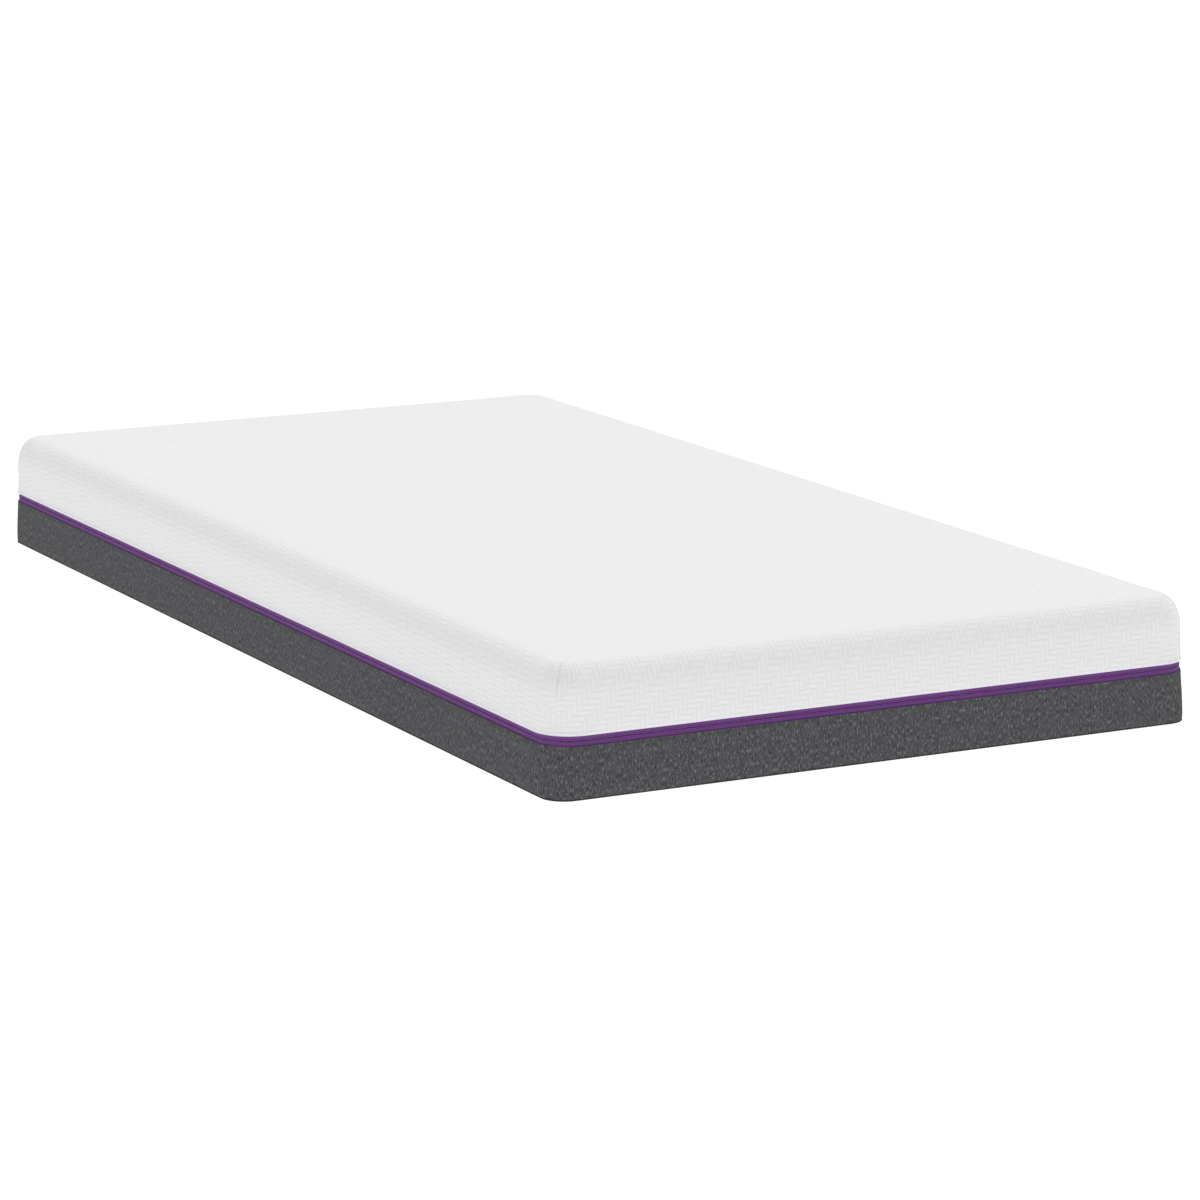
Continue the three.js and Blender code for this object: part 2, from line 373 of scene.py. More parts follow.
def track(inset, height):
    """A closed curve round the mattress, and its length."""
    object_mode()
    bpy.ops.mesh.primitive_plane_add(size=1, location=(0, 0, height))
    obj = bpy.context.object
    obj.scale = (WIDTH - 2 * inset, LENGTH - 2 * inset, 1)
    bpy.ops.object.transform_apply(location=True, rotation=True, scale=True)
    bpy.ops.object.mode_set(mode="EDIT")
    bpy.ops.mesh.select_all(action="SELECT")
    radius = CORNER - inset
    bpy.ops.mesh.bevel(offset=radius, segments=CORNER_STEPS, affect="VERTICES", clamp_overlap=False)
    bpy.ops.mesh.delete(type="ONLY_FACE")
    bpy.ops.object.mode_set(mode="OBJECT")
    bpy.ops.object.convert(target="CURVE")
    path = bpy.context.object
    path.data.dimensions = "3D"
    path.data.twist_mode = "Z_UP"
    points = [Vector(point.co[:3]) for point in path.data.splines[0].points]
    length = sum((b - a).length for a, b in zip(points, points[1:] + points[:1]))
    return path, length


def repeat_round(one, inset, height, pitch):
    """Copies a small piece all the way round the mattress. Its own X runs along the row."""
    path, length = track(inset, height)
    count = round(length / pitch)
    row = one.modifiers.new("row", "ARRAY")
    row.use_relative_offset = False
    row.use_constant_offset = True
    row.constant_offset_displace = (length / count, 0, 0)
    row.count = count
    bend = one.modifiers.new("bend", "CURVE")
    bend.object = path
    bend.deform_axis = "POS_X"
    finish_modifiers(one)
    bpy.data.objects.remove(path)


def stitch_row(name, height):
    """A row of lockstitches. Each is a short thread, narrower at both ends, where it enters the fabric."""
    one = block(name, (STITCH / 2, 0, 0), (STITCH, THREAD, THREAD))
    edit(one)
    slice_along(0, [STITCH * 0.25, STITCH * 0.75])
    pick(one, "VERT", lambda vertex: abs(vertex.co.x - STITCH / 2) > STITCH * 0.4)
    bpy.ops.transform.resize(value=(1, 0.4, 0.6), center_override=(0, 0, 0))
    object_mode()
    sunk = THREAD * 0.1
    repeat_round(one, sunk, height, STITCH_PITCH)
    return one


# ---- node helpers ----

def node(tree, kind, **values):
    made = tree.nodes.new(kind)
    for key, value in values.items():
        setattr(made, key, value)
    return made


def feed(tree, value, socket):
    """Links an output to a socket, or sets the socket to a plain value."""
    if hasattr(value, "is_output"):
        tree.links.new(value, socket)
    else:
        socket.default_value = value


def maths(tree, operation, *inputs):
    made = node(tree, "ShaderNodeMath", operation=operation)
    for socket, value in zip(made.inputs, inputs):
        feed(tree, value, socket)
    return made.outputs[0]


def edge_distance(tree, value):
    """How far a value between 0 and 1 is from the nearer of the two."""
    return maths(tree, "MINIMUM", value, maths(tree, "SUBTRACT", 1.0, value))


def mix_value(tree, factor, first, second):
    made = node(tree, "ShaderNodeMix", data_type="FLOAT")
    for socket, value in zip(made.inputs[:1] + made.inputs[2:4], (factor, first, second)):
        feed(tree, value, socket)
    return made.outputs[0]


def mix_color(tree, factor, first, second):
    made = node(tree, "ShaderNodeMix", data_type="RGBA")
    for socket, value in zip(made.inputs[:1] + made.inputs[6:8], (factor, first, second)):
        feed(tree, value, socket)
    return made.outputs[2]


def noise(tree, vector, scale, detail, roughness=0.5):
    made = node(tree, "ShaderNodeTexNoise")
    made.inputs["Scale"].default_value = scale
    made.inputs["Detail"].default_value = detail
    made.inputs["Roughness"].default_value = roughness
    tree.links.new(vector, made.inputs["Vector"])
    return made.outputs["Fac"]


def stretch(tree, vector, scale):
    made = node(tree, "ShaderNodeMapping")
    made.inputs["Scale"].default_value = scale
    tree.links.new(vector, made.inputs["Vector"])
    return made.outputs["Vector"]


def ramp(tree, factor, start, end):
    """0 at the start value and 1 at the end one, with a soft turn at both."""
    made = node(tree, "ShaderNodeMapRange", interpolation_type="SMOOTHSTEP")
    made.inputs["From Min"].default_value = start
    made.inputs["From Max"].default_value = end
    tree.links.new(factor, made.inputs["Value"])
    return made.outputs["Result"]


def bump(tree, height, distance, strength, normal=None):
    made = node(tree, "ShaderNodeBump")
    made.inputs["Strength"].default_value = strength
    made.inputs["Distance"].default_value = distance
    tree.links.new(height, made.inputs["Height"])
    if normal is not None:
        tree.links.new(normal, made.inputs["Normal"])
    return made.outputs["Normal"]


def surface(tree, color, normal, roughness):
    """The material's own Principled shader, with its colour and normal linked."""
    shader = tree.nodes["Principled BSDF"]
    tree.links.new(color, shader.inputs["Base Color"])
    tree.links.new(normal, shader.inputs["Normal"])
    shader.inputs["Roughness"].default_value = roughness
    return shader


def new_material(name):
    material = bpy.data.materials.new(name)
    material.use_nodes = True
    return material, material.node_tree


def fabric_map(tree):
    """Metres of fabric, as lay_fabric writes them."""
    return node(tree, "ShaderNodeUVMap", uv_map="fabric").outputs[0]


def object_map(tree):
    return node(tree, "ShaderNodeTexCoord").outputs["Object"]


def group(name, inputs, outputs):
    """Returns a new node group, the values that it is given, and the sockets that it puts out."""
    made = bpy.data.node_groups.new(name, "ShaderNodeTree")
    for label, kind, value in inputs:
        socket = made.interface.new_socket(name=label, in_out="INPUT", socket_type=kind)
        if value is not None:
            socket.default_value = value
    for label, kind in outputs:
        made.interface.new_socket(name=label, in_out="OUTPUT", socket_type=kind)
    return made, node(made, "NodeGroupInput").outputs, node(made, "NodeGroupOutput").inputs


def place_group(tree, made, vector, **values):
    placed = node(tree, "ShaderNodeGroup", node_tree=made)
    tree.links.new(vector, placed.inputs["Vector"])
    for label, value in values.items():
        placed.inputs[label].default_value = value
    return placed.outputs


# ---- shared patterns ----

def plank_knit():
    """Raised ribs three times as long as wide, laid across and along in steps, as on jacquard ticking."""
    made, given, out = group(
        "plank_knit",
        [("Vector", "NodeSocketVector", None), ("Plank", "NodeSocketFloat", 7 * MM)],
        [("Height", "NodeSocketFloat")],
    )
    # Of six squares in a row, three make a rib laid across and three belong to ribs laid along.
    ratio = 3
    split = node(made, "ShaderNodeSeparateXYZ")
    made.links.new(given["Vector"], split.inputs[0])
    u = maths(made, "DIVIDE", split.outputs[0], given["Plank"])
    v = maths(made, "DIVIDE", split.outputs[1], given["Plank"])
    column, row = maths(made, "FLOOR", u), maths(made, "FLOOR", v)
    in_u, in_v = maths(made, "FRACT", u), maths(made, "FRACT", v)
    place = maths(made, "FLOORED_MODULO", maths(made, "SUBTRACT", column, row), 2.0 * ratio)
    flat = maths(made, "LESS_THAN", place, ratio - 0.5)
    along_flat = maths(made, "DIVIDE", maths(made, "ADD", place, in_u), ratio)
    from_end = maths(made, "SUBTRACT", 2.0 * ratio - 1, place)
    along_up = maths(made, "DIVIDE", maths(made, "ADD", from_end, in_v), ratio)
    along = mix_value(made, flat, along_up, along_flat)
    across = mix_value(made, flat, in_u, in_v)
    side = edge_distance(made, across)
    end = maths(made, "MULTIPLY", edge_distance(made, along), ratio)
    groove_floor, rib_top = 0.02, 0.34
    rise = ramp(made, maths(made, "MINIMUM", side, end), groove_floor, rib_top)
    made.links.new(rise, out["Height"])
    return made


def knit_loops():
    """Columns of small loops: the fine grain of every knitted piece."""
    made, given, out = group(
        "knit_loops",
        [("Vector", "NodeSocketVector", None), ("Loop", "NodeSocketFloat", 1.2 * MM)],
        [("Height", "NodeSocketFloat")],
    )
    split = node(made, "ShaderNodeSeparateXYZ")
    made.links.new(given["Vector"], split.inputs[0])
    turns = maths(made, "DIVIDE", 2 * math.pi, given["Loop"])
    across = maths(made, "SINE", maths(made, "MULTIPLY", split.outputs[0], turns))
    lean = maths(made, "MULTIPLY", maths(made, "ABSOLUTE", across), 1.2)
    rows = maths(made, "MULTIPLY", split.outputs[1], turns)
    wave = maths(made, "SINE", maths(made, "ADD", rows, lean))
    both = maths(made, "MULTIPLY", maths(made, "ADD", across, wave), 0.25)
    made.links.new(maths(made, "ADD", both, 0.5), out["Height"])
    return made


def open_cells():
    """Small round pores with thin walls between them, as cut foam shows."""
    made, given, out = group(
        "open_cells",
        [("Vector", "NodeSocketVector", None), ("Cell", "NodeSocketFloat", 1.0 * MM)],
        [("Height", "NodeSocketFloat"), ("Pore", "NodeSocketFloat"), ("Mottle", "NodeSocketFloat")],
    )
    per_metre = maths(made, "DIVIDE", 1.0, given["Cell"])
    cells = node(made, "ShaderNodeTexVoronoi", feature="F1")
    made.links.new(given["Vector"], cells.inputs["Vector"])
    made.links.new(per_metre, cells.inputs["Scale"])
    height = ramp(made, cells.outputs["Distance"], 0.1, 0.7)
    made.links.new(height, out["Height"])
    pores_per_metre, mottles_per_metre = 420, 9
    pore = noise(made, given["Vector"], pores_per_metre, 3)
    made.links.new(ramp(made, pore, 0.6, 0.72), out["Pore"])
    made.links.new(noise(made, given["Vector"], mottles_per_metre, 3), out["Mottle"])
    return made


def woven_ribs():
    """Narrow ribs along a tape, each crossed by its weft."""
    made, given, out = group(
        "woven_ribs",
        [("Vector", "NodeSocketVector", None), ("Rib", "NodeSocketFloat", 0.9 * MM)],
        [("Height", "NodeSocketFloat")],
    )
    split = node(made, "ShaderNodeSeparateXYZ")
    made.links.new(given["Vector"], split.inputs[0])
    turns = maths(made, "DIVIDE", 2 * math.pi, given["Rib"])
    rib = maths(made, "SINE", maths(made, "MULTIPLY", split.outputs[1], turns))
    slant = maths(made, "ADD", split.outputs[0], maths(made, "MULTIPLY", rib, 0.2 * MM))
    weft = maths(made, "SINE", maths(made, "MULTIPLY", slant, turns))
    total = maths(made, "ADD", maths(made, "MULTIPLY", rib, 0.35), maths(made, "MULTIPLY", weft, 0.15))
    made.links.new(maths(made, "ADD", total, 0.5), out["Height"])
    return made


PLANKS = plank_knit()
LOOPS = knit_loops()
CELLS = open_cells()
RIBS = woven_ribs()


# ---- materials ----

def white_knit():
    material, tree = new_material("white_knit")
    cloth = fabric_map(tree)
    planks = place_group(tree, PLANKS, cloth, Plank=7 * MM)
    loops = place_group(tree, LOOPS, cloth, Loop=1.3 * MM)
    worn = noise(tree, cloth, 60, 2)
    # Painted shade: the grooves between the ribs are coloured a little darker than the rib tops.
    groove_shaded = mix_color(tree, planks["Height"], (0.85, 0.85, 0.868, 1), (0.892, 0.892, 0.906, 1))
    mottled = mix_color(tree, ramp(tree, worn, 0.3, 0.7), groove_shaded, (0.9, 0.9, 0.913, 1))
    color = mix_color(tree, 0.35, groove_shaded, mottled)
    deep = bump(tree, planks["Height"], 0.7 * MM, 0.65)
    normal = bump(tree, loops["Height"], 0.12 * MM, 0.5, deep)
    shader = surface(tree, color, normal, 0.88)
    shader.inputs["Sheen Weight"].default_value = 0.12
    shader.inputs["Sheen Roughness"].default_value = 0.6
    return material


def grey_melange():
    material, tree = new_material("grey_melange")
    cloth = fabric_map(tree)
    flecks = noise(tree, stretch(tree, cloth, (410, 165, 1)), 1, 3, 0.6)
    fine = noise(tree, stretch(tree, cloth, (1500, 700, 1)), 1, 2)
    broad = noise(tree, stretch(tree, cloth, (90, 60, 1)), 1, 2)
    base = mix_color(tree, ramp(tree, broad, 0.3, 0.7), (0.068, 0.069, 0.073, 1), (0.088, 0.089, 0.094, 1))
    light = mix_color(tree, ramp(tree, flecks, 0.52, 0.7), base, (0.22, 0.222, 0.23, 1))
    dark = mix_color(tree, ramp(tree, flecks, 0.46, 0.3), light, (0.025, 0.025, 0.028, 1))
    hairs = maths(tree, "MULTIPLY", ramp(tree, fine, 0.45, 0.7), 0.3)
    color = mix_color(tree, hairs, dark, (0.145, 0.145, 0.153, 1))
    loops = place_group(tree, LOOPS, cloth, Loop=1.5 * MM)
    soft = bump(tree, flecks, 0.5 * MM, 0.5)
    normal = bump(tree, loops["Height"], 0.25 * MM, 0.6, soft)
    shader = surface(tree, color, normal, 0.95)
    shader.inputs["Specular IOR Level"].default_value = 0.15
    return material


def underside_cloth():
    """Bonded fibres, with rows of small pressed dots."""
    material, tree = new_material("underside_nonwoven")
    place = object_map(tree)
    fibres = noise(tree, stretch(tree, place, (900, 500, 1)), 1, 4, 0.7)
    dots = node(tree, "ShaderNodeTexVoronoi", feature="F1")
    dots.inputs["Scale"].default_value = 160
    dots.inputs["Randomness"].default_value = 0
    tree.links.new(place, dots.inputs["Vector"])
    dimple = ramp(tree, dots.outputs["Distance"], 0.12, 0.3)
    felt = mix_color(tree, fibres, (0.016, 0.016, 0.018, 1), (0.06, 0.061, 0.066, 1))
    color = mix_color(tree, dimple, (0.014, 0.014, 0.016, 1), felt)
    height = maths(tree, "ADD", maths(tree, "MULTIPLY", dimple, 0.7), maths(tree, "MULTIPLY", fibres, 0.3))
    surface(tree, color, bump(tree, height, 0.5 * MM, 0.7), 0.92)
    return material


def tape_weave(name, dark, light):
    material, tree = new_material(name)
    cloth = fabric_map(tree)
    ribs = place_group(tree, RIBS, cloth, Rib=0.9 * MM)
    shade = noise(tree, stretch(tree, cloth, (60, 900, 1)), 1, 2)
    woven = mix_color(tree, ribs["Height"], dark, light)
    color = mix_color(tree, maths(tree, "MULTIPLY", shade, 0.35), woven, dark)
    surface(tree, color, bump(tree, ribs["Height"], 0.25 * MM, 0.7), 0.7)
    return material


def thread(name, color, dark):
    material, tree = new_material(name)
    place = object_map(tree)
    twist = noise(tree, stretch(tree, place, (2200, 2200, 900)), 1, 1)
    surface(tree, mix_color(tree, twist, dark, color), bump(tree, twist, 0.1 * MM, 0.6), 0.6)
    return material


def enamel():
    material, tree = new_material("zip_enamel")
    place = object_map(tree)
    cast = noise(tree, place, 700, 3)
    color = mix_color(tree, cast, (0.085, 0.02, 0.135, 1), (0.12, 0.032, 0.19, 1))
    shader = surface(tree, color, bump(tree, cast, 0.05 * MM, 0.25), 0.32)
    shader.inputs["Coat Weight"].default_value = 0.5
    shader.inputs["Coat Roughness"].default_value = 0.15
    return material


def nylon():
    material, tree = new_material("zip_coil")
    place = object_map(tree)
    drawn = noise(tree, stretch(tree, place, (900, 900, 2600)), 1, 2)
    # Painted light: the teeth are lighter than the tape's purple, to make up for the shade they sit in
    # behind the slit.
    color = mix_color(tree, drawn, (0.16, 0.04, 0.24, 1), (0.24, 0.07, 0.35, 1))
    surface(tree, color, bump(tree, drawn, 0.05 * MM, 0.3), 0.38)
    return material


def foam(name, color, shade, cell, pore_depth):
    """Cut foam: cells over the whole face, scattered open pores, and a slow mottle."""
    material, tree = new_material(name)
    place = object_map(tree)
    cells = place_group(tree, CELLS, place, Cell=cell)
    walls = mix_color(tree, cells["Height"], shade, color)
    mottled = mix_color(tree, maths(tree, "MULTIPLY", cells["Mottle"], 0.3), walls, shade)
    pore_shade = tuple(0.62 * value for value in shade[:3]) + (1,)
    pores = mix_color(tree, maths(tree, "MULTIPLY", cells["Pore"], 0.7), mottled, pore_shade)
    depth = maths(tree, "SUBTRACT", cells["Height"], cells["Pore"])
    shader = surface(tree, pores, bump(tree, depth, pore_depth, 0.6), 0.9)
    shader.inputs["Subsurface Weight"].default_value = 0.08
    shader.inputs["Subsurface Radius"].default_value = (3 * MM, 2.5 * MM, 2 * MM)
    return material


def satin():
    material, tree = new_material("satin_label")
    place = object_map(tree)
    warp = noise(tree, stretch(tree, place, (200, 4000, 200)), 1, 1)
    color = mix_color(tree, warp, (0.78, 0.78, 0.79, 1), (0.86, 0.86, 0.86, 1))
    shader = surface(tree, color, bump(tree, warp, 0.05 * MM, 0.4), 0.38)
    shader.inputs["Sheen Weight"].default_value = 0.2
    return material


WHITE = white_knit()
GREY = grey_melange()
UNDERSIDE = underside_cloth()
PURPLE = tape_weave("zip_tape", (0.125, 0.03, 0.185, 1), (0.205, 0.05, 0.295, 1))
NYLON = nylon()
ENAMEL = enamel()
WHITE_THREAD = thread("white_thread", (0.9, 0.9, 0.9, 1), (0.7, 0.7, 0.72, 1))
GREY_THREAD = thread("grey_thread", (0.1, 0.1, 0.105, 1), (0.05, 0.05, 0.052, 1))
PURPLE_THREAD = thread("purple_thread", (0.16, 0.045, 0.25, 1), (0.08, 0.02, 0.13, 1))
MEMORY = foam("memory_foam", (0.9, 0.86, 0.74, 1), (0.8, 0.74, 0.6, 1), 0.9 * MM, 0.35 * MM)
TRANSITION = foam("transition_foam", (0.5, 0.6, 0.72, 1), (0.38, 0.48, 0.61, 1), 1.2 * MM, 0.5 * MM)
SUPPORT = foam("support_foam", (0.8, 0.81, 0.82, 1), (0.66, 0.67, 0.69, 1), 1.5 * MM, 0.6 * MM)
SATIN = satin()


def place_piece(obj, material, body, slot, *nodes):
    """Gives a finished piece its look, and says what it rides on and stands for."""
    obj.data.materials.clear()
    obj.data.materials.append(material)
    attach(obj, body)
    if nodes:
        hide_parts(*nodes)


# ---- top cover ----

def crown_rings(inset, high):
    """Rings round the top edge, which reaches further down than in."""
    rings = []
    for number in range(CROWN_STEPS + 1):
        turn = math.pi / 2 * number / CROWN_STEPS
        in_by = inset + TOP_EDGE * (1 - math.cos(turn))
        rings.append((in_by, CORNER - in_by, high - TOP_DROP + TOP_DROP * math.sin(turn)))
    return rings


def corner_darts(obj):
    """A short seam down each corner: a thin crease from the top edge that fades out above the hem."""
    high, low = HEIGHT - 6 * MM, HEIGHT - 50 * MM
    reach = 0.6 * MM  # less than the width of the crease, so that only its middle is pressed in
    crease, press = 0.9 * MM, 0.4 * MM

    def on_seam(point, above):
        off_corner = abs((WIDTH / 2 - abs(point.x)) - (LENGTH / 2 - abs(point.y)))
        return off_corner < reach and abs(point.x) > WIDTH / 2 - CORNER and above < point.z < high

    edit(obj)
    pick(obj, "EDGE", lambda edge: on_seam(edge.verts[0].co, low) and on_seam(edge.verts[1].co, low))
    bpy.ops.mesh.bevel(offset=crease, segments=2, affect="EDGES", clamp_overlap=False)
    for above in (low + 2 * MM, low + 12 * MM, low + 22 * MM):  # pressed in again above each
        for side_x in (-1, 1):
            for side_y in (-1, 1):
                pick(obj, "VERT", lambda vertex: on_seam(vertex.co, above)
                     and vertex.co.x * side_x > 0 and vertex.co.y * side_y > 0)
                bpy.ops.transform.translate(value=(-side_x * press, -side_y * press, 0))
    object_mode()


def make_top_cover():
    """The white knit: its hem at full size, and the rest a little inside until it swells."""
    wall = [
        (0, CORNER, BAND_TOP),
        (SWELL_ROOM / 2, CORNER, BAND_TOP + 6 * MM),
        (SWELL_ROOM, CORNER, BAND_TOP + 24 * MM),
    ]
    rings = wall + crown_rings(SWELL_ROOM, HEIGHT - SWELL_ROOM)
    cover = loft("top_cover_knit", rings, close_high=True)
    slice_grid(PITCH)
    outward(cover)
    object_mode()
    fill_out(cover, lambda point: point.z < BAND_TOP + 1 * MM, pressure=0.6, most=1 * MM)
    ease(cover, strength=1 * MM, size=0.11, level=0.51)
    refine(cover)
    corner_darts(cover)
    lay_fabric(cover, True)
    thicken(cover, FABRIC)
    smooth(cover, 50)
    place_piece(cover, WHITE, "top_cover", "white_knit", "top_cover_panel")
    stitches = stitch_row("top_cover_hem_stitches", BAND_TOP + HEM)
    place_piece(stitches, WHITE_THREAD, "top_cover", "white_knit")


# ---- base cover ----

def make_border():
    """The grey border, with corners that are a little sharper at the floor than at the zip."""
    rings = [  # (inset, corner radius, height)
        (2.8 * MM, 34 * MM, 1.7 * MM),
        (1.6 * MM, 35 * MM, 3 * MM),
        (0.9 * MM, 36 * MM, 8 * MM),
        (0.5 * MM, 39 * MM, 22 * MM),
        (0.3 * MM, 43 * MM, 42 * MM),
        (0.2 * MM, 48 * MM, 60 * MM),
        (0, CORNER, 70.5 * MM),
        (0.5 * MM, CORNER, BAND_BOTTOM),
    ]
    border = loft("base_border_fabric", rings)
    slice_grid(PITCH)
    outward(border)
    object_mode()
    ease(border, strength=1.2 * MM, size=0.12)
    refine(border)
    lay_fabric(border, False)
    thicken(border, FABRIC)
    smooth(border, 50)
    place_piece(border, GREY, "base_cover", "grey_melange", "base_border")
    stitches = stitch_row("base_border_hem_stitches", BAND_BOTTOM - HEM)
    place_piece(stitches, GREY_THREAD, "base_cover", "grey_melange")


def make_underside():
    """The panel on the floor, with the bound seam that joins it to the border."""
    rings = [  # (inset, corner radius, height)
        (6 * MM, 30 * MM, 0.15 * MM),
        (2.4 * MM, 34 * MM, 0.4 * MM),
        (1.5 * MM, 35 * MM, 1.2 * MM),
        (1.9 * MM, 35 * MM, 2.1 * MM),
        (7 * MM, 30 * MM, 2.6 * MM),
    ]
    panel = loft("underside_panel", rings, close_low=True, close_high=True)
    slice_grid(PITCH * 2)
    object_mode()
    smooth(panel, 60)
    place_piece(panel, UNDERSIDE, "base_cover", "underside_nonwoven", "base_panel")


# ---- zip ----

def make_tape(name, direction, cad_node, body):
    """A tape with a rolled edge at the slit, a groove beside it, and a flat selvedge behind the hem."""
    selvedge_depth = 0.7  # all of these are in millimetres, as (from the slit, depth)
    rolled_edge = [(0.0, 0.9), (0.15, 0.35), (0.9, 0.05), (1.6, 0.3)]
    groove = [(2.0, 0.8), (2.5, 0.45)]
    flat = [(5.5, 0.5), (12.8, selvedge_depth)]
    rings = []
    for away, depth in rolled_edge + groove + flat:
        inset = TAPE_DEPTH + (depth - selvedge_depth) * MM
        rings.append((inset, CORNER - inset, ZIP_LINE + direction * (SLIT + away * MM)))
    tape = loft(name, rings)
    slice_grid(PITCH * 2)
    outward(tape)
    object_mode()
    lay_fabric(tape, False)
    thicken(tape, TAPE_THICK)
    smooth(tape, 60)
    place_piece(tape, PURPLE, body, "zip_tape", cad_node)


def make_coil(name, direction, cad_node, body, stops):
    """Nylon teeth, each a shank up the tape's back with a wider head at the slit, left out at the stops."""
    wide, thick, tall, pitch = 1.0 * MM, 1.5 * MM, 3 * MM, 2.1 * MM
    one = block(name, (0, 0, direction * tall / 2), (wide, thick, tall))
    edit(one)
    slice_along(2, [direction * tall * 0.3, direction * tall * 0.45])
    head_wider, ends_narrower = 1.5, 0.7
    pick(one, "VERT", lambda vertex: abs(vertex.co.z) < tall * 0.35)
    bpy.ops.transform.resize(value=(head_wider, 1, 1), center_override=(0, 0, 0))
    pick(one, "VERT", lambda vertex: abs(vertex.co.z) > tall * 0.9 or abs(vertex.co.z) < TINY)
    bpy.ops.transform.resize(value=(ends_narrower, ends_narrower, 1), center_override=(0, 0, 0))
    object_mode()
    off_line, clear = 0.8 * MM, 0.3 * MM
    repeat_round(one, COIL_DEPTH + thick / 2, ZIP_LINE + direction * off_line, pitch)
    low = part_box(stops[0])[0][0] - clear
    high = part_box(stops[-1])[1][0] + clear
    edit(one)
    pick(one, "VERT", lambda vertex: vertex.co.y > 0.9 * LENGTH / 2 and low < vertex.co.x < high)
    bpy.ops.mesh.select_linked()
    bpy.ops.mesh.delete(type="VERT")
    object_mode()
    place_piece(one, NYLON, body, "zip_coil", cad_node)


def make_slider():
    """A front plate that narrows to its nose, a bail on it, a neck through the slit, and a flanged back."""
    centre, size = middle_and_size("zip_slider_body")
    middle, length = centre[0], size[0]
    front = LENGTH / 2 - 0.5 * MM
    back = LENGTH / 2 - 5.85 * MM
    thick, tall = 1.8 * MM, 11 * MM
    plate = block("zip_slider", (middle, front - thick / 2, ZIP_LINE), (length, thick, tall))
    edit(plate)
    slice_along(0, [middle - length * 0.1, middle + length * 0.25])
    nose = middle + length * 0.4
    nose_height, shoulder_height = 0.55, 0.85  # as parts of the plate's own
    pick(plate, "VERT", lambda vertex: vertex.co.x > nose)
    bpy.ops.transform.resize(value=(1, 1, nose_height), center_override=(middle, front, ZIP_LINE))
    pick(plate, "VERT", lambda vertex: middle < vertex.co.x < nose)
    bpy.ops.transform.resize(value=(1, 1, shoulder_height), center_override=(middle, front, ZIP_LINE))
    object_mode()
    round_edges(plate, 0.7 * MM, 3)
    object_mode()
    bpy.ops.mesh.primitive_torus_add(
        location=(middle, front + 0.1 * MM, ZIP_LINE), major_radius=3.4 * MM, minor_radius=0.65 * MM,
        major_segments=28, minor_segments=10,
    )
    bail = bpy.context.object
    bail.scale = (1, 0.58, 1.15)
    bpy.ops.object.transform_apply(location=True, rotation=True, scale=True)
    overlap = 1 * MM
    neck_size = (length * 0.55, front - back - 2 * overlap, 0.8 * MM)
    neck = rounded_box("neck", (middle, (front + back) / 2 - overlap, ZIP_LINE), neck_size, 0.2 * MM)
    back_thick, back_tall = 0.8 * MM, 12.8 * MM
    back_place = (middle, back - back_thick / 2, ZIP_LINE)
    back_plate = rounded_box("back", back_place, (length, back_thick, back_tall), 0.3 * MM)
    flange_size = (length, 2.6 * MM, 1.4 * MM)
    flanges = []
    for side in (-1, 1):
        place = (middle, back + 0.7 * MM, ZIP_LINE + side * 5.65 * MM)
        flanges.append(rounded_box("flange", place, flange_size, 0.3 * MM))
    slider = merge("zip_slider", [plate, bail, neck, back_plate, *flanges])
    smooth(slider, 35)
    place_piece(slider, ENAMEL, "zip_slider", "zip_enamel", "zip_slider_body")


def make_pull():
    """A flat tab with a round end, a shallow panel on each face, and an eye that the bail goes through."""
    centre, size = middle_and_size("zip_pull_tab")
    tab = block("zip_pull", centre, size)
    edit(tab)
    pick(tab, "EDGE", lambda edge: abs(edge.verts[0].co.y - edge.verts[1].co.y) > size[1] / 2
         and edge.verts[0].co.x < centre[0])
    bpy.ops.mesh.bevel(offset=3.9 * MM, segments=8, affect="EDGES", clamp_overlap=False)
    pick(tab, "FACE", lambda face: abs(face.normal.y) > 0.9)
    bpy.ops.mesh.inset(thickness=1.3 * MM, depth=-0.18 * MM, use_individual=True)
    object_mode()
    eye_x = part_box("zip_pull_tab")[1][0] - 4.1 * MM
    cut_away(tab, block("eye", (eye_x, centre[1], centre[2]), (5.8 * MM, 8 * MM, 5.2 * MM)))
    round_edges(tab, 0.25 * MM, 2)
    smooth(tab, 35)
    place_piece(tab, ENAMEL, "zip_pull", "zip_enamel", "zip_pull_tab")


def make_patch():
    """A square of tape sewn over the ends of the zip, with a line of stitches round it."""
    centre, size = middle_and_size("zip_end_patch")
    patch = rounded_box("zip_end_patch_cloth", centre, size, 0.8 * MM, 3)
    lay_scrap(patch, lambda point: (point.x, point.z))
    smooth(patch, 60)
    place_piece(patch, PURPLE, "base_cover", "zip_tape", "zip_end_patch")
    from_edge, pitch, stitch = 1.8 * MM, 3 * MM, 2.2 * MM
    inner_x, inner_z = size[0] / 2 - from_edge, size[2] / 2 - from_edge
    threads = []
    for side in (-1, 1):
        for along in steps(-inner_x - pitch / 2, inner_x + pitch / 2, pitch):
            threads.append((centre[0] + along, centre[2] + side * inner_z, stitch, THREAD))
        for along in steps(-inner_z - pitch / 2, inner_z + pitch / 2, pitch):
            threads.append((centre[0] + side * inner_x, centre[2] + along, THREAD, stitch))
    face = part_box("zip_end_patch")[1][1]
    made = [
        rounded_box("stitch", (x, face, z), (wide, THREAD, tall), 0.12 * MM, 1)
        for x, z, wide, tall in threads
    ]
    stitches = merge("zip_end_patch_stitches", made)
    place_piece(stitches, PURPLE_THREAD, "base_cover", "zip_tape")


# ---- foam core ----

